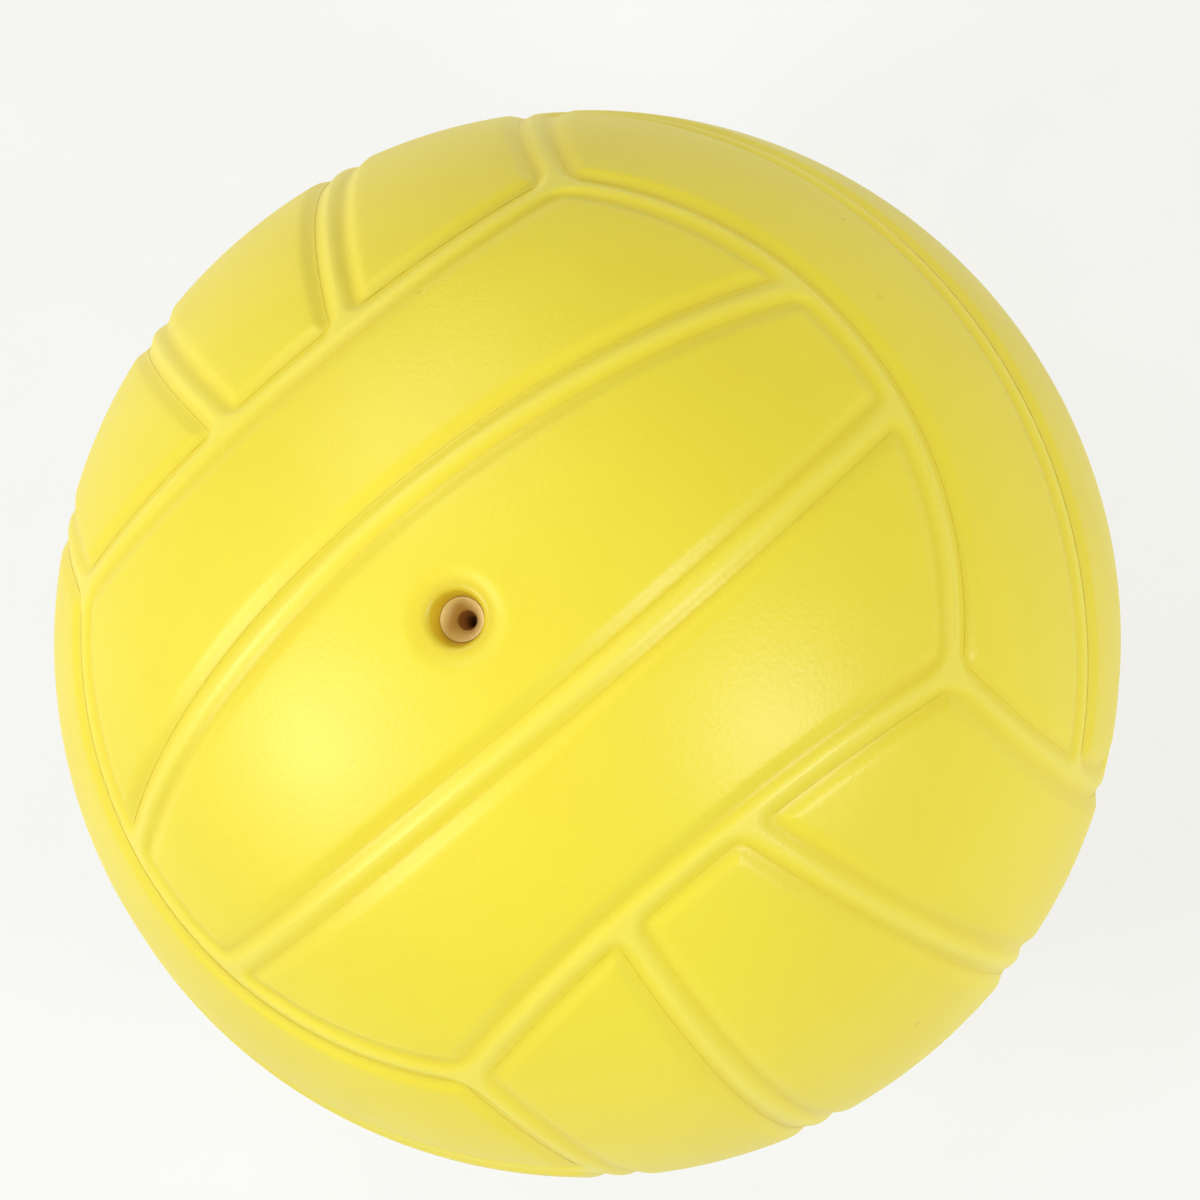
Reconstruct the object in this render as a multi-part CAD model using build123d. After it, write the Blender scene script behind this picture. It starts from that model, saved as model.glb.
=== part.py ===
from build123d import *
import math
import os

# A hollow rubber ball of eighteen panels: six faces of three strips, on a ribbed carcass over a
# wound bladder. The origin is the ball's centre and +Z runs out through the valve. The strips of
# the top face run along X and lie side by side along Y. Sizes are in millimetres and degrees.

# Ball and its layers, from the outside in
ball_diameter = 220.0
panel_thickness = 1.1
carcass_thickness = 0.5
winding_thickness = 0.5
bladder_thickness = 0.6
bond_gap = 0.05

# Seams: each rib stands in a channel between two rolled panel edges
strip_half_angle = 13.7
rib_height = 0.9
rib_crest_width = 1.4
rib_foot_width = 4.8
groove_width = 0.9
shoulder_width = 3.0
shoulder_slope = 8.0
rib_crest_slope = 10.0

# Valve well moulded in the top middle panel: a shallow dimple and a tapered way down to the plug
well_mouth_diameter = 11.4
well_end_diameter = 8.8
well_depth = 6.4
well_wall = 1.0
well_lip_radius = 1.2
dimple_diameter = 19.0
dimple_depth = 0.6

# Valve plug, from its rim inwards
plug_recess = 6.6
plug_head_diameter = 8.2
plug_head_length = 8.0
plug_stem_diameter = 6.4
plug_length = 17.0
plug_rim_width = 0.3
funnel_depth = 3.4
throat_diameter = 4.0
throat_depth = 2.5
needle_taper = 1.5
needle_bore_diameter = 2.2
needle_bore_length = 6.0
slit_width = 0.3
slit_length = 3.6

# Valve housing bonded in the bladder
socket_clearance = 0.05
housing_wall = 1.8
flange_diameter = 32.0
flange_thickness = 1.2
plug_tip_showing = 1.6

# Values that follow from the sizes above
ball_radius = ball_diameter / 2
panel_inner = ball_radius - panel_thickness
carcass_outer = panel_inner - bond_gap
carcass_inner = carcass_outer - carcass_thickness
rib_crest = carcass_outer + rib_height
winding_outer = carcass_inner - bond_gap
winding_inner = winding_outer - winding_thickness
bladder_outer = winding_inner - bond_gap
bladder_inner = bladder_outer - bladder_thickness
flange_outer = bladder_inner - bond_gap
flange_inner = flange_outer - flange_thickness
panel_foot = rib_foot_width / 2 + groove_width
panel_brow = panel_foot + shoulder_width
edge_polar = math.degrees(math.acos(1 / math.sqrt(3)))
collar_radius = well_mouth_diameter / 2 + well_wall
collar_hole = collar_radius + bond_gap
collar_end = ball_radius - well_depth
plug_rim = ball_radius - plug_recess
plug_tip = plug_rim - plug_length
plug_step = plug_rim - plug_head_length
bore_top = plug_rim - funnel_depth - throat_depth - needle_taper
bore_end = bore_top - needle_bore_length

# How far a cutter reaches past the layer that it cuts
reach = 1.0
# Blank that holds every strip of the top face: polar angle of its ends from the X axis, and how far
# it leans to each side about X
block_polar = 25.0
block_lean = 50.0
# Part of a turn that one seam cutter sweeps, which is past both ends of its strip
cutter_sweep = 170.0

# Walls of the panels and of the carcass pockets: floor radius, offset of the wall's foot from the
# seam's middle, top radius, offset of the wall's top, and slope where the wall meets the top
panel_wall = (panel_inner, panel_foot, ball_radius, panel_brow, shoulder_slope)
pocket_wall = (carcass_outer, rib_foot_width / 2, rib_crest, rib_crest_width / 2, rib_crest_slope)

# Turns that carry a piece of the top face to each face, and the strips there from -Y to +Y
corner_axis = Axis((0, 0, 0), (1, 1, 1))
faces = {
    "top": (0, None, ("front", "valve", "back")),
    "right": (120, None, ("lower", "middle", "upper")),
    "back": (240, None, ("left", "middle", "right")),
    "bottom": (0, Axis.X, ("back", "middle", "front")),
    "left": (120, Axis.Z, ("lower", "middle", "upper")),
    "front": (240, Axis.Z, ("right", "middle", "left")),
}


def at(polar, radius):
    """Point of the XZ plane at a polar angle from +Z and a distance from the centre."""
    angle = math.radians(polar)
    return (radius * math.sin(angle), 0, radius * math.cos(angle))


def arc(start, end, radius):
    """Arc about the ball's centre between two polar angles."""
    return ThreePointArc(at(start, radius), at((start + end) / 2, radius), at(end, radius))


def on_sphere(rho, radius):
    """Point of a sphere at a distance from the valve axis."""
    return (rho, 0, math.sqrt(radius**2 - rho**2))


def polar_of(rho, radius):
    """Polar angle of a point of a sphere at a distance from the valve axis."""
    return math.degrees(math.asin(rho / radius))


def revolved(*edges):
    """Solid of revolution about the Z axis, from the edges of its half section."""
    return revolve(make_face(edges), Axis.Z, 360)


def wall_middle(wall):
    """Offset and radius of the middle of a wall's arc, which bulges outwards."""
    floor, foot, top, brow, slope = wall
    run, rise = brow - foot, top - floor
    chord = math.hypot(run, rise)
    turn = 2 * (math.atan2(rise, abs(run)) - math.radians(slope))
    sagitta = chord / 2 * math.tan(turn / 4)
    offset = (foot + brow) / 2 - math.copysign(rise, run) * sagitta / chord
    return offset, (floor + top) / 2 + abs(run) * sagitta / chord


def seam_cutter(heading, lean, polar, keeps_inside, wall):
    """Everything past one seam, whose circle lies at a polar angle about an axis leant about X.

    The sweep is centred on a heading about Z before the lean.
    """
    floor, foot, top, brow, slope = wall
    side = -1 if keeps_inside else 1
    pole = 180 if keeps_inside else 0
    mid_offset, mid_radius = wall_middle(wall)
    foot_polar, mid_polar, brow_polar = (
        polar + side * math.degrees(offset / ball_radius) for offset in (foot, mid_offset, brow)
    )
    below, above = floor - reach, top + reach
    section = make_face([
        arc(pole, foot_polar, below),
        Line(at(foot_polar, below), at(foot_polar, floor)),
        ThreePointArc(at(foot_polar, floor), at(mid_polar, mid_radius), at(brow_polar, top)),
        Line(at(brow_polar, top), at(brow_polar, above)),
        arc(brow_polar, pole, above),
        Line(at(pole, above), at(pole, below)),
    ])
    swept = revolve(section.rotate(Axis.Z, heading - cutter_sweep / 2), Axis.Z, cutter_sweep)
    return swept.rotate(Axis.X, lean)


def top_block(floor, top):
    """Part of a shell over the top face, revolved about X so that its poles lie off the strips."""
    low, high = 90 - block_polar, block_polar - 90
    section = make_face([
        arc(low, high, top),
        Line(at(high, top), at(high, floor)),
        arc(high, low, floor),
        Line(at(low, floor), at(low, top)),
    ])
    return revolve(section.rotate(Axis.X, -block_lean), Axis.X, 2 * block_lean)


def cut_ends(field, wall):
    """A strip of the top face cut off at its +X and -X ends."""
    for heading in (0, 180):
        field -= seam_cutter(heading, 0, edge_polar, True, wall)
    return field


def middle_field(wall, top):
    """Area of the top face's middle strip, between its two seams and its two ends."""
    lean = 90 + strip_half_angle
    field = top_block(wall[0], top)
    field -= seam_cutter(90, lean, 90, False, wall)
    field -= seam_cutter(-90, -lean, 90, False, wall)
    return cut_ends(field, wall)


def outer_field(wall, top):
    """Area of the top face's +Y strip, between the inner seam, the face's edge and its two ends."""
    field = top_block(wall[0], top)
    field -= seam_cutter(-90, -90, edge_polar, False, wall)
    field -= seam_cutter(-90, -90 - strip_half_angle, 90, True, wall)
    return cut_ends(field, wall)


def fields(wall, top):
    """The eighteen areas of the ball by panel name."""
    middle = middle_field(wall, top)
    outer = outer_field(wall, top)
    strips = (outer.rotate(Axis.Z, 180), middle, outer)
    placed = {}
    for face, (turn, flip, names) in faces.items():
        for strip, name in zip(strips, names):
            solid = strip.rotate(corner_axis, turn)
            placed[f"panel_{face}_{name}"] = solid.rotate(flip, 180) if flip else solid
    return placed


def layer(outer, inner):
    """Spherical layer of the ball with a round hole for the valve."""
    hole = polar_of(collar_hole, inner)
    return revolved(
        arc(hole, 180, outer),
        Line(at(180, outer), at(180, inner)),
        arc(180, hole, inner),
        Line(at(hole, inner), at(hole, outer)),
    )


def carcass():
    """Rubber layer with a pocket for each panel, which leaves the seam ribs standing."""
    shell = layer(rib_crest, carcass_inner)
    for pocket in fields(pocket_wall, rib_crest + reach).values():
        shell -= pocket
    return shell


def valve_collar():
    """Tube of the valve panel that lines the way through the layers below it."""
    top = panel_inner + panel_thickness / 2
    return Pos(0, 0, collar_end) * Cylinder(
        collar_radius, top - collar_end, align=(Align.CENTER, Align.CENTER, Align.MIN)
    )


def valve_way():
    """Opening of the valve well: shallow dimple, rounded lip and tapered wall."""
    mouth, end = well_mouth_diameter / 2, well_end_diameter / 2
    rim = dimple_diameter / 2
    lip_z = on_sphere(mouth, ball_radius)[2] - dimple_depth
    rise = (on_sphere(rim, ball_radius)[2] - lip_z) / (rim - mouth)
    past = 2 * rim
    past_z = lip_z + rise * (past - mouth)
    top, bottom = ball_radius + dimple_diameter, collar_end - reach
    lip = FilletPolyline(
        (end, 0, collar_end),
        (mouth, 0, lip_z),
        (past, 0, past_z),
        radius=well_lip_radius,
    )
    rest = Polyline(
        (past, 0, past_z),
        (past, 0, top),
        (0, 0, top),
        (0, 0, bottom),
        (end, 0, bottom),
        (end, 0, collar_end),
    )
    return revolved(*lip.edges(), *rest.edges())


def valve_housing():
    """Flange that follows the bladder's inner face, with the tube that grips the valve plug."""
    head = plug_head_diameter / 2 + socket_clearance
    stem = plug_stem_diameter / 2 + socket_clearance
    boss = collar_hole + housing_wall
    seat, step = collar_end - bond_gap, plug_step - bond_gap
    end = plug_tip + plug_tip_showing
    edge = polar_of(flange_diameter / 2, flange_inner)
    root, mouth = polar_of(boss, flange_inner), polar_of(collar_hole, flange_outer)
    outline = Polyline(
        at(mouth, flange_outer),
        (collar_hole, 0, seat),
        (head, 0, seat),
        (head, 0, step),
        (stem, 0, step),
        (stem, 0, end),
        (stem + housing_wall, 0, end),
        at(root, flange_inner),
    )
    return revolved(
        *outline.edges(),
        arc(root, edge, flange_inner),
        Line(at(edge, flange_inner), at(edge, flange_outer)),
        arc(edge, mouth, flange_outer),
    )


def valve_plug():
    """Headed plug with a funnel, a throat, the needle bore and the slit that closes behind it."""
    head, stem = plug_head_diameter / 2, plug_stem_diameter / 2
    throat, bore = throat_diameter / 2, needle_bore_diameter / 2
    throat_top = plug_rim - funnel_depth
    outline = Polyline(
        (0, 0, bore_end),
        (bore, 0, bore_end),
        (bore, 0, bore_top),
        (throat, 0, bore_top + needle_taper),
        (throat, 0, throat_top),
        (head - plug_rim_width, 0, plug_rim),
        (head, 0, plug_rim),
        (head, 0, plug_step),
        (stem, 0, plug_step),
        (stem, 0, plug_tip),
        (0, 0, plug_tip),
        close=True,
    )
    slit = Pos(0, 0, plug_tip - reach) * Box(
        slit_length,
        slit_width,
        bore_end - plug_tip + 2 * reach,
        align=(Align.CENTER, Align.CENTER, Align.MIN),
    )
    return revolved(*outline.edges()) - slit


nodes = fields(panel_wall, ball_radius)
nodes["panel_top_valve"] = nodes["panel_top_valve"] + valve_collar() - valve_way()
nodes["carcass"] = carcass()
nodes["winding"] = layer(winding_outer, winding_inner)
nodes["bladder"] = layer(bladder_outer, bladder_inner)
nodes["valve_housing"] = valve_housing()
nodes["valve_plug"] = valve_plug()

os.makedirs("parts", exist_ok=True)
for name, shape in nodes.items():
    export_step(shape, f"parts/{name}.step")
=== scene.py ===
import math
import bmesh
import bpy
from mathutils import Matrix, Vector


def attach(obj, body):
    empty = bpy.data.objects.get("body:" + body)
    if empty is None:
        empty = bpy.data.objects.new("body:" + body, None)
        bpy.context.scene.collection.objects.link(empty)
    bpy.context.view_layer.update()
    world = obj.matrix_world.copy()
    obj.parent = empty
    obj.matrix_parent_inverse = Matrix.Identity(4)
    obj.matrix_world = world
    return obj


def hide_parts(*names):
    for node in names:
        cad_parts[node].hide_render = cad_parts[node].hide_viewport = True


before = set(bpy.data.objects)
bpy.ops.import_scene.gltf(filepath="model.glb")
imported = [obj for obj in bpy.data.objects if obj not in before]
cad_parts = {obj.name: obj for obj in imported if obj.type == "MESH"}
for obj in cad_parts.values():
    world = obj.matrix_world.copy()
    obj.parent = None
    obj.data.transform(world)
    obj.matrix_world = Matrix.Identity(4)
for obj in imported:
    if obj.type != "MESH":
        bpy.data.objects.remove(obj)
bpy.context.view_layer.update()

# Bladder: a butyl rubber balloon, moulded in one piece and dusted with talc so that the yarn wound
# over it doesn't stick. It is the innermost layer and holds the air.
bladder_black = "#2a2624"
talc_grey = "#57504a"
talc_patch = 0.006


def linear(hex_colour):
    """Linear RGBA of an sRGB hex colour."""
    parts = [int(hex_colour[i:i + 2], 16) / 255 for i in (1, 3, 5)]
    return [p / 12.92 if p <= 0.04045 else ((p + 0.055) / 1.055) ** 2.4 for p in parts] + [1.0]


def add_node(material, kind, inputs, **settings):
    """Adds a shader node, with its settings, and its inputs as values or as sockets to link."""
    node = material.node_tree.nodes.new(kind)
    for name, value in settings.items():
        setattr(node, name, value)
    for name, value in inputs.items():
        if isinstance(value, bpy.types.NodeSocket):
            material.node_tree.links.new(value, node.inputs[name])
        else:
            node.inputs[name].default_value = value
    return node


def new_material(name):
    """A node material with no nodes in it yet."""
    material = bpy.data.materials.new(name)
    material.use_nodes = True
    material.node_tree.nodes.clear()
    return material


# Butyl rubber, moulded and talced: a dull black skin with soft grey patches.
butyl = new_material("butyl_rubber")
place = add_node(butyl, "ShaderNodeTexCoord", {}).outputs["Object"]
patches = add_node(butyl, "ShaderNodeTexNoise", {"Vector": place, "Scale": 1 / talc_patch, "Detail": 4.0})
dusting = add_node(butyl, "ShaderNodeMix", {
    "Factor": patches.outputs["Fac"],
    6: linear(bladder_black),
    7: linear(talc_grey),
}, data_type="RGBA")
skin = add_node(butyl, "ShaderNodeBsdfPrincipled", {
    "Base Color": dusting.outputs[2],
    "Roughness": 0.72,
    "IOR": 1.52,
})
add_node(butyl, "ShaderNodeOutputMaterial", {"Surface": skin.outputs["BSDF"]})
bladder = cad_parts["bladder"]
bladder.data.materials.clear()
bladder.data.materials.append(butyl)

# Valve housing: a black rubber flange and tube, moulded in one and vulcanised to the inside of the
# bladder. Its bore grips the valve plug.
housing_black = "#3a332e"
housing_bloom = "#5b5148"
bloom_patch = 0.002

# Black natural rubber as it leaves the mould: matt, with a faint brown bloom.
housing_rubber = new_material("housing_rubber")
place = add_node(housing_rubber, "ShaderNodeTexCoord", {}).outputs["Object"]
bloom = add_node(housing_rubber, "ShaderNodeTexNoise", {
    "Vector": place,
    "Scale": 1 / bloom_patch,
    "Detail": 3.0,
})
bloomed = add_node(housing_rubber, "ShaderNodeMix", {
    "Factor": bloom.outputs["Fac"],
    6: linear(housing_black),
    7: linear(housing_bloom),
}, data_type="RGBA")
skin = add_node(housing_rubber, "ShaderNodeBsdfPrincipled", {
    "Base Color": bloomed.outputs[2],
    "Roughness": 0.65,
    "IOR": 1.52,
})
add_node(housing_rubber, "ShaderNodeOutputMaterial", {"Surface": skin.outputs["BSDF"]})
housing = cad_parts["valve_housing"]
housing.data.materials.clear()
housing.data.materials.append(housing_rubber)

# Winding: one long nylon yarn, wound round the bladder on great circles in every direction, which
# keeps the ball round and stops it growing. It lies in latex cement.
yarn_white = "#e9e2cf"
cement_shade = "#a8997a"
winding_radius = 0.1083
yarn_pitch = 0.0022
yarn_lays = (((0.3, 0.5), 1.0), ((1.2, -0.4), 0.85), ((2.1, 0.9), 0.7), ((0.8, 2.0), 0.55))
thread_half = 0.5

# Nylon yarn in latex: fine off-white threads that cross each other, with darker cement between them. Each
# lay is a set of great circles through one axis, and an upper lay is brighter: the lays beneath it are
# painted darker, as shade. A real yarn is about 0.4 mm thick, and the threads are drawn as coarse as they
# need to show.
nylon_yarn = new_material("nylon_yarn")
place = add_node(nylon_yarn, "ShaderNodeTexCoord", {}).outputs["Object"]
threads = None
for (tilt, lean), brightness in yarn_lays:
    turned = add_node(nylon_yarn, "ShaderNodeMapping", {"Vector": place, "Rotation": (tilt, lean, 0.0)})
    angle = add_node(nylon_yarn, "ShaderNodeTexGradient", {
        "Vector": turned.outputs["Vector"],
    }, gradient_type="RADIAL")
    lines = add_node(nylon_yarn, "ShaderNodeMath", {
        0: angle.outputs["Fac"],
        1: round(2 * math.pi * winding_radius / yarn_pitch),
    }, operation="MULTIPLY")
    thread = add_node(nylon_yarn, "ShaderNodeMath", {
        0: lines.outputs[0],
        1: thread_half,
    }, operation="PINGPONG")
    # Painted shade: a lay's brightness makes the lays beneath an upper one darker.
    lay = add_node(nylon_yarn, "ShaderNodeMath", {
        0: thread.outputs[0],
        1: brightness / thread_half,
    }, operation="MULTIPLY")
    if threads is None:
        threads = lay.outputs[0]
    else:
        over = add_node(nylon_yarn, "ShaderNodeMath", {0: threads, 1: lay.outputs[0]}, operation="MAXIMUM")
        threads = over.outputs[0]
yarn_colour = add_node(nylon_yarn, "ShaderNodeMix", {
    "Factor": threads,
    6: linear(cement_shade),
    7: linear(yarn_white),
}, data_type="RGBA")
relief = add_node(nylon_yarn, "ShaderNodeBump", {"Height": threads, "Strength": 0.6, "Distance": 0.0003})
skin = add_node(nylon_yarn, "ShaderNodeBsdfPrincipled", {
    "Base Color": yarn_colour.outputs[2],
    "Roughness": 0.6,
    "Normal": relief.outputs["Normal"],
})
add_node(nylon_yarn, "ShaderNodeOutputMaterial", {"Surface": skin.outputs["BSDF"]})
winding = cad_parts["winding"]
winding.data.materials.clear()
winding.data.materials.append(nylon_yarn)

# Carcass: a thin yellow rubber layer over the winding. The mould raises a rounded rib on it along
# every seam, and leaves a shallow bed between the ribs for each cover panel. It is made bed by bed:
# six faces of three strips, each strip with half of the ribs round it.
ball_radius = 0.110
carcass_floor = 0.10890
carcass_inner = 0.10835
rib_height = 0.00085
rib_foot = 0.0032
rib_lines = (0.0, 0.0005, 0.0009, 0.0013, 0.0017, 0.0021, 0.0025, 0.0028, 0.0031, 0.0034, 0.0040, 0.0050)
# The valley tint is painted shade: the grooves beside each rib are coloured deeper where shade falls in
# them.
valley_middle, valley_reach, valley_painted_shade = 0.0032, 0.0022, 0.12
# The crest wear is a painted highlight: the rib crests are coloured a paler yellow.
crest_reach, crest_highlight_level = 0.0024, 0.28
corner_round = 0.0060
seam_lean = math.radians(13.7)
edge_tilt = math.asin(1 / math.sqrt(3))
valve_hole = 0.0085
bed_cells = (8, 40)
grid_rounds = 24
sharp_angle = math.radians(45)


def swell(share):
    """Rounded fall from 1 to 0 while a share goes from 0 to 1, level at both ends."""
    return (1 + math.cos(math.pi * min(1.0, max(0.0, share)))) / 2


def side_turn(strip, high, offset, along):
    """Turn about the strip's long axis of a line at an offset inside one of its two sides."""
    if strip == "outer" and high:
        return math.asin(math.sin(edge_tilt - offset / ball_radius) / math.cos(along))
    step = math.asin(math.sin(offset / ball_radius) / math.cos(along))
    if strip == "outer":
        return seam_lean + step
    return seam_lean - step if high else step - seam_lean


def end_reach(offset, turn):
    """Angle from the middle of a strip to a line at an offset inside its ends."""
    return math.acos(math.cos(math.pi / 2 - edge_tilt - offset / ball_radius) / math.cos(turn))


def line_angle(line, lines, offsets, low, high):
    """Angle of one grid line: at its own offset near a side, and evenly spread between them."""
    last = len(offsets) - 1
    if line <= last:
        return low(offsets[line])
    if lines - line <= last:
        return high(offsets[lines - line])
    share = (line - last) / (lines - 2 * last)
    return low(offsets[last]) * (1 - share) + high(offsets[last]) * share


def seam_gap(strip, way):
    """Distance over the ball from a direction to the nearest seam of its strip, rounded in the corners."""
    y, z = way.y * math.cos(seam_lean), way.z * math.sin(seam_lean)
    if strip == "middle":
        low, high = math.asin(y + z), math.asin(z - y)
    else:
        low, high = math.asin(y - z), edge_tilt - math.asin(way.y)
    side = ball_radius * min(low, high)
    end = ball_radius * (math.pi / 2 - edge_tilt - math.acos(way.z))
    if max(side, end) > corner_round:
        return min(side, end)
    return corner_round - math.hypot(corner_round - side, corner_round - end)


def strip_sheet(strip, offsets, cells_across, cells_along, hole=0):
    """Grid over one strip of the top face, on a sphere of radius 1, with lines along its seams.

    A square of cells in its middle, as many each way as the hole, is left open.
    """
    sheet = bmesh.new()
    columns = cells_along + 2 * (len(offsets) - 1)
    rows = cells_across + 2 * (len(offsets) - 1)
    bmesh.ops.create_grid(sheet, x_segments=columns, y_segments=rows, size=1)
    middle = [
        f for f in sheet.faces
        if abs(f.calc_center_median().x) < hole / columns and abs(f.calc_center_median().y) < hole / rows
    ]
    bmesh.ops.delete(sheet, geom=middle, context="FACES")
    for v in sheet.verts:
        column = round((v.co.x + 1) / 2 * columns)
        row = round((v.co.y + 1) / 2 * rows)
        # The two angles of a point depend on each other, so they settle over some rounds.
        along = turn = 0.0
        for _ in range(grid_rounds):
            turn = turn / 2 + line_angle(
                row, rows, offsets,
                lambda offset: side_turn(strip, False, offset, along),
                lambda offset: side_turn(strip, True, offset, along),
            ) / 2
            along = line_angle(
                column, columns, offsets,
                lambda offset: -end_reach(offset, turn),
                lambda offset: end_reach(offset, turn),
            )
        v.co = (math.sin(along), math.cos(along) * math.sin(turn), math.cos(along) * math.cos(turn))
    return sheet


def thicken(sheet, inner):
    """Closes a curved sheet down to a sphere about the ball's centre."""
    made = bmesh.ops.extrude_face_region(
        sheet, geom=sheet.verts[:] + sheet.edges[:] + sheet.faces[:], use_keep_orig=True
    )
    for v in made["geom"]:
        if isinstance(v, bmesh.types.BMVert):
            v.co = v.co.normalized() * inner
    bmesh.ops.recalc_face_normals(sheet, faces=sheet.faces)


def ball_turns():
    """Each face's name, the turn that takes the top face there, and its strips from low to high."""
    third = [Matrix.Rotation(math.radians(120 * k), 4, Vector((1, 1, 1))) for k in range(3)]
    over, round_about = Matrix.Rotation(math.pi, 4, "X"), Matrix.Rotation(math.pi, 4, "Z")
    return (
        ("top", third[0], ("front", "valve", "back")),
        ("right", third[1], ("lower", "middle", "upper")),
        ("back", third[2], ("left", "middle", "right")),
        ("bottom", over, ("back", "middle", "front")),
        ("left", round_about @ third[1], ("lower", "middle", "upper")),
        ("front", round_about @ third[2], ("right", "middle", "left")),
    )


def smooth_piece(name, shape, material):
    """Object of a finished mesh, smooth but for its sharp edges."""
    for f in shape.faces:
        f.smooth = True
    for e in shape.edges:
        e.smooth = len(e.link_faces) == 2 and e.calc_face_angle() < sharp_angle
    mesh = bpy.data.meshes.new(name)
    shape.to_mesh(mesh)
    shape.free()
    mesh.materials.append(material)
    piece = bpy.data.objects.new(name, mesh)
    bpy.context.scene.collection.objects.link(piece)
    return piece


# Moulded natural rubber, dyed yellow through and through: satin, with the fine grain of a blasted
# mould, slightly uneven colour, a painted shade of deeper ochre down in the grooves and round the
# valve well, and a painted highlight of paler yellow along the ribs.
rubber_yellow = "#f8e73c"
rubber_deep = "#f2db36"
# Paler yellow of the painted highlight on the rib crests.
rubber_highlight = "#fff47a"
# Deeper ochre of the painted shade in the grooves and round the valve well.
painted_shade_ochre = "#caa41c"
speck_brown = "#a8842a"
mould_grain = 0.0012
dye_cloud = 0.035
speck_spacing = 0.024
speck_radius = 0.0009
speck_strength = 0.32
cover_rubber = new_material("moulded_yellow_rubber")
place = add_node(cover_rubber, "ShaderNodeTexCoord", {}).outputs["Object"]
clouds = add_node(cover_rubber, "ShaderNodeTexNoise", {
    "Vector": place,
    "Scale": 1 / dye_cloud,
    "Detail": 3.0,
})
dye = add_node(cover_rubber, "ShaderNodeMix", {
    "Factor": clouds.outputs["Fac"],
    6: linear(rubber_yellow),
    7: linear(rubber_deep),
}, data_type="RGBA")
# Painted highlight: a paler yellow mixed in along the rib crests.
crest_highlight = add_node(cover_rubber, "ShaderNodeAttribute", {}, attribute_name="crest_highlight")
highlighted = add_node(cover_rubber, "ShaderNodeMix", {
    "Factor": crest_highlight.outputs["Fac"],
    6: dye.outputs[2],
    7: linear(rubber_highlight),
}, data_type="RGBA")
# Painted shade: a deeper ochre mixed in by the groove attribute, in the grooves and round the valve well.
painted_shade = add_node(cover_rubber, "ShaderNodeAttribute", {}, attribute_name="painted_shade")
shaded = add_node(cover_rubber, "ShaderNodeMix", {
    "Factor": painted_shade.outputs["Fac"],
    6: highlighted.outputs[2],
    7: linear(painted_shade_ochre),
}, data_type="RGBA")
spots = add_node(cover_rubber, "ShaderNodeTexVoronoi", {"Vector": place, "Scale": 1 / speck_spacing})
speck = add_node(cover_rubber, "ShaderNodeMapRange", {
    "Value": spots.outputs["Distance"],
    "From Max": speck_radius / speck_spacing,
    "To Min": speck_strength,
    "To Max": 0.0,
})
marked = add_node(cover_rubber, "ShaderNodeMix", {
    "Factor": speck.outputs["Result"],
    6: shaded.outputs[2],
    7: linear(speck_brown),
}, data_type="RGBA")
grain = add_node(cover_rubber, "ShaderNodeTexNoise", {
    "Vector": place,
    "Scale": 1 / mould_grain,
    "Detail": 2.0,
})
relief = add_node(cover_rubber, "ShaderNodeBump", {
    "Height": grain.outputs["Fac"],
    "Strength": 0.7,
    "Distance": 0.00012,
})
sheen_patch = add_node(cover_rubber, "ShaderNodeMapRange", {
    "Value": clouds.outputs["Fac"],
    "To Min": 0.38,
    "To Max": 0.48,
})
skin = add_node(cover_rubber, "ShaderNodeBsdfPrincipled", {
    "Base Color": marked.outputs[2],
    "Roughness": sheen_patch.outputs["Result"],
    "IOR": 1.5,
    "Normal": relief.outputs["Normal"],
})
add_node(cover_rubber, "ShaderNodeOutputMaterial", {"Surface": skin.outputs["BSDF"]})


def panel_bed(strip):
    """One strip of the carcass with the ribs round it, out to the middle of each rib."""
    bed = strip_sheet(strip, rib_lines, *bed_cells)
    bed.verts.layers.float.new("painted_shade")
    bed.verts.layers.float.new("crest_highlight")
    shade_layer, highlight_layer = (bed.verts.layers.float[name] for name in ("painted_shade", "crest_highlight"))
    for v in bed.verts:
        gap = seam_gap(strip, v.co)
        # Painted shade in the valleys beside the rib.
        v[shade_layer] = valley_painted_shade * swell(abs(gap - valley_middle) / valley_reach)
        # Painted highlight along the rib's crest.
        v[highlight_layer] = crest_highlight_level * swell(gap / crest_reach)
        v.co *= carcass_floor + rib_height * swell(gap / rib_foot)
    thicken(bed, carcass_inner)
    return bed


carcass = bmesh.new()
beds = {strip: panel_bed(strip) for strip in ("middle", "outer")}
for _, turn, _ in ball_turns():
    for strip, half_turn in (("outer", math.pi), ("middle", 0), ("outer", 0)):
        bed = beds[strip].copy()
        bmesh.ops.transform(bed, matrix=turn @ Matrix.Rotation(half_turn, 4, "Z"), verts=bed.verts)
        placed = bpy.data.meshes.new("bed")
        bed.to_mesh(placed)
        bed.free()
        carcass.from_mesh(placed)
        bpy.data.meshes.remove(placed)
middles = ((f, f.calc_center_median()) for f in carcass.faces)
under_valve = [f for f, middle in middles if middle.z > 0 and middle.xy.length < valve_hole]
bmesh.ops.delete(carcass, geom=under_valve, context="FACES")
bmesh.ops.bridge_loops(carcass, edges=[e for e in carcass.edges if e.is_boundary])
ribs = smooth_piece("carcass_with_ribs", carcass, cover_rubber)
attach(ribs, "ball")
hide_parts("carcass")

# Cover panels: strips of yellow rubber, cemented into the beds and vulcanised in the ball's mould,
# which rolls their edges down into the grooves. The two shapes are a middle and an outer strip.
panel_inner = 0.10892
panel_foot = 0.0033
panel_roll = 0.0038
foot_radius = 0.10898
panel_lines = (0.0033, 0.0036, 0.0040, 0.0044, 0.0048, 0.0052, 0.0056, 0.0060, 0.0065, 0.0072, 0.0085)
middle_cells, outer_cells = (12, 60), (8, 56)
well_cells = 10


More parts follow.
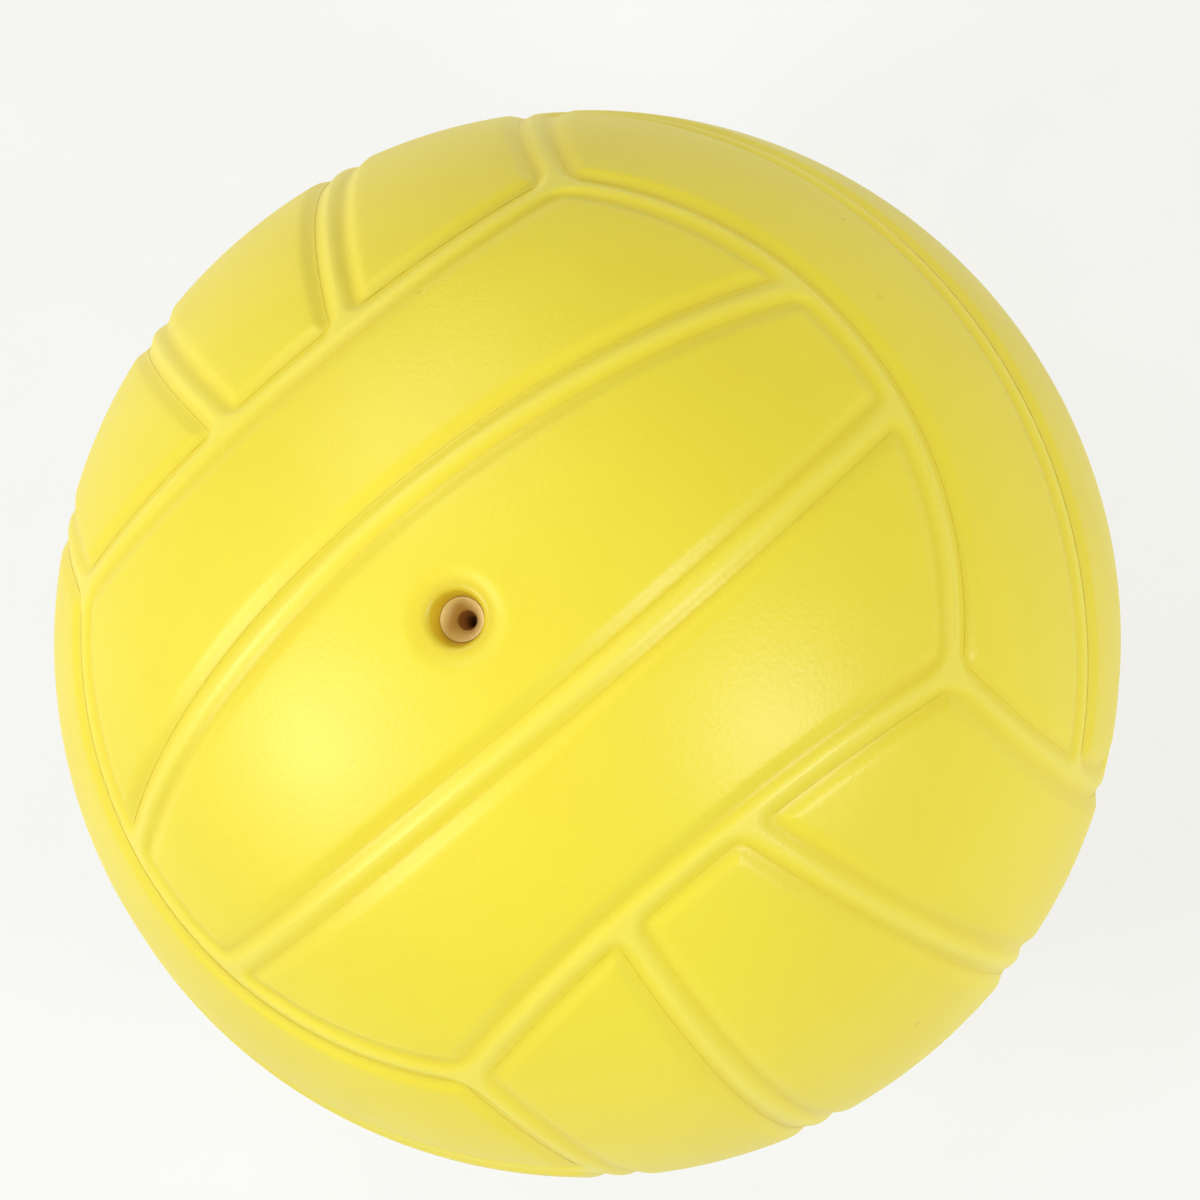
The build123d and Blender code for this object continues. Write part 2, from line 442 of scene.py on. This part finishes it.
def panel_sheet(strip, cells_across, cells_along, hole=0):
    """Outer face of one panel of the top face, with its edges rolled down."""
    sheet = strip_sheet(strip, panel_lines, cells_across, cells_along, hole)
    shade_layer = sheet.verts.layers.float.new("painted_shade")
    for v in sheet.verts:
        gap = seam_gap(strip, v.co)
        # Painted shade in the valley at the panel's rolled edge.
        v[shade_layer] = valley_painted_shade * swell(abs(gap - valley_middle) / valley_reach)
        v.co *= ball_radius - (ball_radius - foot_radius) * swell((gap - panel_foot) / panel_roll)
    return sheet


# Valve well: a shallow dimple in the valve panel, a rounded lip, and a tapered way down through all
# the layers to the plug, moulded in one with the panel as a collar.
dimple_edge, dimple_floor, dimple_depth = 0.0108, 0.0072, 0.00085
dimple_rings = 5
well_mouth, well_end = 0.0057, 0.0044
lip_round = 0.0012
collar_radius, collar_end = 0.0067, 0.1036
well_rim, collar_rim = 0.0118, 0.0100
# Painted shade round the valve well: a deeper ochre ring round its mouth, and darker further down its
# wall.
well_shade_ring, well_shade_reach = 0.42, 0.0036
well_shade_start, well_shade_depth = 0.0002, 0.0024
well_reach = 0.022
steep = 0.5
weld = 1e-6


def on_ball(rho, radius):
    """Point of the XZ plane on a sphere, at a distance from the valve axis."""
    return Vector((rho, 0, math.sqrt(radius ** 2 - rho ** 2)))


def add_valve_well(panel):
    """Adds the dimple, lip and collar in the square left open in the valve panel."""
    middles = ((f, f.calc_center_median()) for f in panel.faces)
    near = [f for f, middle in middles if middle.z > 0 and middle.xy.length < well_reach]
    walls = [f for f in near if abs(f.normal.z) < steep]
    bmesh.ops.delete(panel, geom=walls, context="FACES")
    open_edges = [e for e in panel.edges if e.is_boundary]
    upper = [e for e in open_edges if e.verts[0].co.length > (ball_radius + panel_inner) / 2]
    lower = [e for e in open_edges if e not in upper]
    section = [on_ball(well_rim, ball_radius)]
    for ring in range(dimple_rings, -1, -1):
        share = ring / dimple_rings
        point = on_ball(dimple_floor + (dimple_edge - dimple_floor) * share, ball_radius)
        section.append(point - Vector((0, 0, dimple_depth * swell(share))))
    mouth = on_ball(well_mouth, ball_radius) - Vector((0, 0, dimple_depth))
    section += [mouth, Vector((well_end, 0, collar_end)), Vector((collar_radius, 0, collar_end))]
    section += [on_ball(collar_radius, panel_inner), on_ball(collar_rim, panel_inner)]
    corners = [panel.verts.new(point) for point in section]
    strand = [panel.edges.new(pair) for pair in zip(corners, corners[1:])]
    bmesh.ops.spin(
        panel, geom=corners + strand, cent=(0, 0, 0), axis=(0, 0, 1), angle=2 * math.pi,
        steps=4 * well_cells, use_merge=True,
    )
    rings = [e for e in panel.edges if e.is_boundary and e not in open_edges]
    rim = [e for e in rings if e.verts[0].co.length > (ball_radius + panel_inner) / 2]
    root = [e for e in rings if e not in rim]
    bmesh.ops.bridge_loops(panel, edges=upper + rim)
    bmesh.ops.bridge_loops(panel, edges=lower + root)
    lip = [
        e for e in panel.edges
        if all(abs(v.co.z - mouth.z) < weld and v.co.xy.length < well_mouth + weld for v in e.verts)
    ]
    bmesh.ops.bevel(
        panel, geom=lip, offset=lip_round, segments=6, profile=0.5, affect="EDGES", material=-1,
        clamp_overlap=True,
    )
    bmesh.ops.recalc_face_normals(panel, faces=panel.faces)
    shade_layer = panel.verts.layers.float["painted_shade"]
    # Painted shade: darker round the well's mouth and deeper down its wall.
    for v in panel.verts:
        if v.co.z > 0 and v.co.xy.length < dimple_edge:
            ring_shade = well_shade_ring * swell((v.co.xy.length - well_mouth) / well_shade_reach)
            v[shade_layer] = min(1.0, max(ring_shade, (mouth.z + well_shade_start - v.co.z) / well_shade_depth))


panels = {
    "middle": panel_sheet("middle", *middle_cells),
    "outer": panel_sheet("outer", *outer_cells),
    "valve": panel_sheet("middle", *middle_cells, well_cells),
}
for sheet in panels.values():
    thicken(sheet, panel_inner)
add_valve_well(panels["valve"])
for face, turn, names in ball_turns():
    for name, half_turn in zip(names, (math.pi, 0, 0)):
        shape = name if name in ("middle", "valve") else "outer"
        panel = panels[shape].copy()
        bmesh.ops.transform(panel, matrix=turn @ Matrix.Rotation(half_turn, 4, "Z"), verts=panel.verts)
        piece = smooth_piece(f"cover_{face}_{name}", panel, cover_rubber)
        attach(piece, "ball")
        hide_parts(f"panel_{face}_{name}")

# Valve plug: a headed plug of tan gum rubber, turned inwards at the top to a funnel that guides the
# needle to its bore. It is pushed into the housing and held by grip alone.
plug_rim, plug_step, plug_tip = 0.1042, 0.0954, 0.0864
head_radius, stem_radius = 0.0041, 0.0032
lip_radius, lip_foot = 0.00445, 0.10385
funnel_mouth, funnel_end = 0.0043, 0.1000
throat_radius, throat_end = 0.0020, 0.0975
bore_radius, bore_top, bore_end = 0.0011, 0.0960, 0.0900
rim_round = 0.00006
plug_sides = 48
bore_margin, bore_fall = 0.0002, 0.0006
# The bore's brown is a painted shade for the deep needle bore.
gum_tan, gum_pale, bore_shade_brown = "#e9c46c", "#f9e8b0", "#d8aa6c"
gum_patch = 0.0025

# Gum rubber, undyed and moulded: a waxy tan with paler patches, and a painted shade of darker brown down
# in the needle's bore.
gum_rubber = new_material("tan_gum_rubber")
place = add_node(gum_rubber, "ShaderNodeTexCoord", {}).outputs["Object"]
patches = add_node(gum_rubber, "ShaderNodeTexNoise", {
    "Vector": place,
    "Scale": 1 / gum_patch,
    "Detail": 4.0,
})
gum = add_node(gum_rubber, "ShaderNodeMix", {
    "Factor": patches.outputs["Fac"],
    6: linear(gum_tan),
    7: linear(gum_pale),
}, data_type="RGBA")
bore_shade = add_node(gum_rubber, "ShaderNodeAttribute", {}, attribute_name="bore")
darkened = add_node(gum_rubber, "ShaderNodeMix", {
    "Factor": bore_shade.outputs["Fac"],
    6: gum.outputs[2],
    7: linear(bore_shade_brown),
}, data_type="RGBA")
relief = add_node(gum_rubber, "ShaderNodeBump", {
    "Height": patches.outputs["Fac"],
    "Strength": 0.3,
    "Distance": 0.0001,
})
skin = add_node(gum_rubber, "ShaderNodeBsdfPrincipled", {
    "Base Color": darkened.outputs[2],
    "Roughness": 0.5,
    "IOR": 1.52,
    "Normal": relief.outputs["Normal"],
})
add_node(gum_rubber, "ShaderNodeOutputMaterial", {"Surface": skin.outputs["BSDF"]})

plug = bmesh.new()
bore_shade_layer = plug.verts.layers.float.new("bore")
section = (
    (0.0, bore_end), (bore_radius, bore_end), (bore_radius, bore_top), (throat_radius, throat_end),
    (throat_radius, funnel_end), (funnel_mouth, plug_rim), (lip_radius, plug_rim),
    (lip_radius, lip_foot), (head_radius, lip_foot), (head_radius, plug_step),
    (stem_radius, plug_step), (stem_radius, plug_tip), (0.0, plug_tip),
)
corners = [plug.verts.new((rho, 0, z)) for rho, z in section]
strand = [plug.edges.new(pair) for pair in zip(corners, corners[1:])]
bmesh.ops.spin(
    plug, geom=corners + strand, cent=(0, 0, 0), axis=(0, 0, 1), angle=2 * math.pi,
    steps=plug_sides, use_merge=True,
)
bmesh.ops.remove_doubles(plug, verts=plug.verts, dist=weld)
bmesh.ops.recalc_face_normals(plug, faces=plug.faces)
rounded = []
for e in plug.edges:
    start, end = (v.co for v in e.verts)
    round_about = abs(start.z - end.z) < weld and abs(start.xy.length - end.xy.length) < weld
    if round_about and start.xy.length > (bore_radius + throat_radius) / 2:
        rounded.append(e)
bmesh.ops.bevel(
    plug, geom=rounded, offset=rim_round, segments=4, profile=0.5, affect="EDGES", material=-1,
    clamp_overlap=True,
)
# Painted shade: the colour darkens from the funnel's end down into the throat and bore.
for v in plug.verts:
    if v.co.xy.length < throat_radius + bore_margin and v.co.z > bore_end - weld:
        v[bore_shade_layer] = min(1.0, max(0.0, (funnel_end + bore_margin - v.co.z) / bore_fall))
piece = smooth_piece("valve_plug_insert", plug, gum_rubber)
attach(piece, "plug")
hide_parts("valve_plug")

# Table and light: a plain white sheet under the ball, a large soft lamp low on the left of the
# picture, weaker ones on its right and at its upper left, and an even white room. The picture's right
# and up are given in the ball's frame.
view_right = Vector((0.7539, -0.6144, -0.2330)).normalized()
view_up = Vector((0.6403, 0.7666, 0.0503)).normalized()
view_back = view_right.cross(view_up).normalized()
view_up = view_back.cross(view_right)
sheet_white, sheet_fibre, sheet_shade = "#f6f6f5", "#f3f3f2", "#e4e4e2"
fibre_patch = 0.025
sheet_half = 8
sheet_seen = 0.76
room_white = "#fffdfa"
room_light, room_seen = 0.31, 0.82


def seen_rays(material, unseen, seen):
    """One value for rays of the camera, gloss and glass, and another for light that falls on things."""
    ray = add_node(material, "ShaderNodeLightPath", {})
    gloss = add_node(material, "ShaderNodeMath", {
        0: ray.outputs["Is Glossy Ray"],
        1: ray.outputs["Is Transmission Ray"],
    }, operation="MAXIMUM")
    looked = add_node(material, "ShaderNodeMath", {
        0: ray.outputs["Is Camera Ray"],
        1: gloss.outputs[0],
    }, operation="MAXIMUM")
    level = add_node(material, "ShaderNodeMapRange", {
        "Value": looked.outputs[0],
        "To Min": unseen,
        "To Max": seen,
    })
    return level.outputs["Result"]


# Matt white paper with a faint mottle of fibres. Most of what is seen of it is its own white, and the
# rest is lit by the lamps, so that it keeps the ball's shadow.
paper = new_material("white_paper")
place = add_node(paper, "ShaderNodeTexCoord", {}).outputs["Object"]
mottle = add_node(paper, "ShaderNodeTexNoise", {"Vector": place, "Scale": 1 / fibre_patch, "Detail": 3.0})
tone = add_node(paper, "ShaderNodeMix", {
    "Factor": mottle.outputs["Fac"],
    6: linear(sheet_white),
    7: linear(sheet_fibre),
}, data_type="RGBA")
skin = add_node(paper, "ShaderNodeBsdfPrincipled", {"Base Color": linear(sheet_shade), "Roughness": 0.9})
lit = add_node(paper, "ShaderNodeEmission", {"Color": tone.outputs[2], "Strength": 1.08})
mixed = add_node(paper, "ShaderNodeMixShader", {
    0: seen_rays(paper, 0.0, sheet_seen),
    1: skin.outputs["BSDF"],
    2: lit.outputs["Emission"],
})
add_node(paper, "ShaderNodeOutputMaterial", {"Surface": mixed.outputs["Shader"]})
table = bmesh.new()
bmesh.ops.create_grid(table, x_segments=1, y_segments=1, size=sheet_half)
bmesh.ops.translate(table, vec=(0, 0, -ball_radius), verts=table.verts)
smooth_piece("white_table", table, paper)

# Each lamp's name, how far it stands to the right, up and back of the ball, its width, watts and tone.
lamps = (
    ("window_lamp", -1.5, -0.55, 0.95, 1.0, 18.6, (0.95, 1.0, 0.97)),
    ("fill_lamp", 1.02, -0.45, 1.26, 0.55, 12.6, (0.95, 1.0, 0.97)),
    ("ceiling_lamp", -0.9, 1.1, 0.9, 1.2, 8.6, (1.0, 1.0, 1.0)),
)
for name, right, up, back, size, power, tone in lamps:
    lamp = bpy.data.lights.new(name, "AREA")
    lamp.shape = "DISK"
    lamp.size = size
    lamp.energy = power
    lamp.color = tone
    holder = bpy.data.objects.new(name, lamp)
    spot = view_right * right + view_up * up + view_back * back
    holder.matrix_world = Matrix.Translation(spot) @ spot.to_track_quat("Z", "Y").to_matrix().to_4x4()
    bpy.context.scene.collection.objects.link(holder)

room = bpy.data.worlds.new("white_room")
room.use_nodes = True
room.node_tree.nodes.clear()
air = add_node(room, "ShaderNodeBackground", {
    "Color": linear(room_white),
    "Strength": seen_rays(room, room_light, room_seen),
})
add_node(room, "ShaderNodeOutputWorld", {"Surface": air.outputs["Background"]})
bpy.context.scene.world = room

# Camera: a long lens nearly overhead, turned so that the strips of the valve's face run across the
# picture from the lower left to the upper right. The ball's middle and the radius of its outline are
# in pixels of the whole picture.
image_size = 1200
ball_in_view = (587.9, 643.6)
outline_radius = 533.8
distance_in_radii = 15.2
distance = distance_in_radii * ball_radius
focal = outline_radius * math.sqrt(distance ** 2 - ball_radius ** 2) / ball_radius
camera = bpy.data.cameras.new("camera")
camera.sensor_width = 36.0
camera.lens = focal / image_size * camera.sensor_width
eye = view_back * distance
eye += view_right * (image_size / 2 - ball_in_view[0]) * distance / focal
eye += view_up * (ball_in_view[1] - image_size / 2) * distance / focal
holder = bpy.data.objects.new("camera", camera)
turned = Matrix((view_right, view_up, view_back)).transposed().to_4x4()
holder.matrix_world = Matrix.Translation(eye) @ turned
bpy.context.scene.collection.objects.link(holder)
bpy.context.scene.camera = holder
bpy.context.scene.view_settings.view_transform = "Standard"
